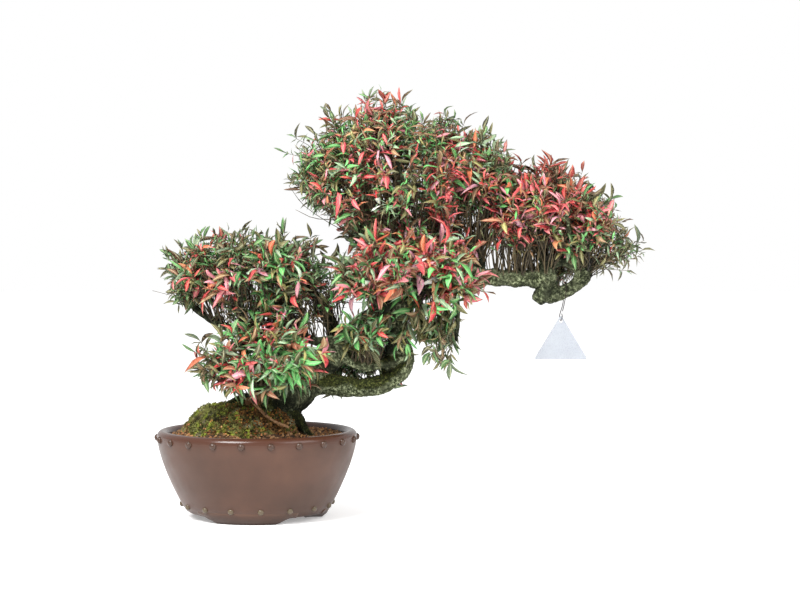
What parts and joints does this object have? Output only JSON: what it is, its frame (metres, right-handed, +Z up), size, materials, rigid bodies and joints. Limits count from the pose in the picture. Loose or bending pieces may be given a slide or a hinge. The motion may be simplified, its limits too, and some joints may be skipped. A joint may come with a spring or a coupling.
{
  "type": "asiatic jasmine bonsai",
  "caption": "Windswept asiatic jasmine bonsai in a round unglazed drum pot on short feet, with a bare swing tag on a thread",
  "frame": {"origin": "centre of the plant's box, on the table under the pot's feet", "axes": "+Z up, +X towards the tree's overhanging right side, -Y towards the viewer"},
  "size_m": [0.4836, 0.2052, 0.4269],
  "materials": {
    "pot": "unglazed satin stoneware",
    "soil": "fired clay granules with moss on the mound",
    "bark": "rough bark with patches of moss and lichen",
    "leaf_green": "satin leaf, green",
    "leaf_olive": "satin leaf, olive",
    "leaf_red": "satin leaf, red",
    "tag": "thin whitish sheet, bare",
    "thread": "thin dark thread"
  },
  "bodies": {
    "root": {"pot": "pot", "soil": "soil", "spray_droop_1": "leaf_green", "spray_droop_2": "leaf_green", "spray_droop_3": "leaf_green", "spray_front_1": "leaf_green", "spray_front_2": "leaf_red", "spray_front_3": "leaf_green", "spray_front_4": "leaf_green", "spray_left_1": "leaf_green", "spray_left_2": "leaf_green", "spray_left_3": "leaf_red", "spray_left_4": "leaf_green", "spray_left_5": "leaf_green", "spray_left_6": "leaf_green", "spray_left_7": "leaf_red", "spray_left_8": "leaf_green", "spray_middle_1": "leaf_green", "spray_middle_2": "leaf_green", "spray_middle_3": "leaf_red", "spray_middle_4": "leaf_green", "spray_middle_5": "leaf_green", "spray_right_1": "leaf_green", "spray_right_2": "leaf_red", "spray_right_3": "leaf_green", "spray_right_4": "leaf_red", "spray_right_5": "leaf_green", "spray_right_6": "leaf_green", "spray_tip_1": "leaf_green", "spray_tip_2": "leaf_red", "spray_tip_3": "leaf_green", "spray_tip_4": "leaf_green", "spray_top_1": "leaf_olive", "spray_top_10": "leaf_olive", "spray_top_11": "leaf_olive", "spray_top_12": "leaf_olive", "spray_top_13": "leaf_olive", "spray_top_14": "leaf_olive", "spray_top_2": "leaf_olive", "spray_top_3": "leaf_olive", "spray_top_4": "leaf_red", "spray_top_5": "leaf_olive", "spray_top_6": "leaf_olive", "spray_top_7": "leaf_olive", "spray_top_8": "leaf_olive", "spray_top_9": "leaf_red", "tag": "tag", "tag_thread": "thread", "trunk": "bark"}
  },
  "joints": []
}
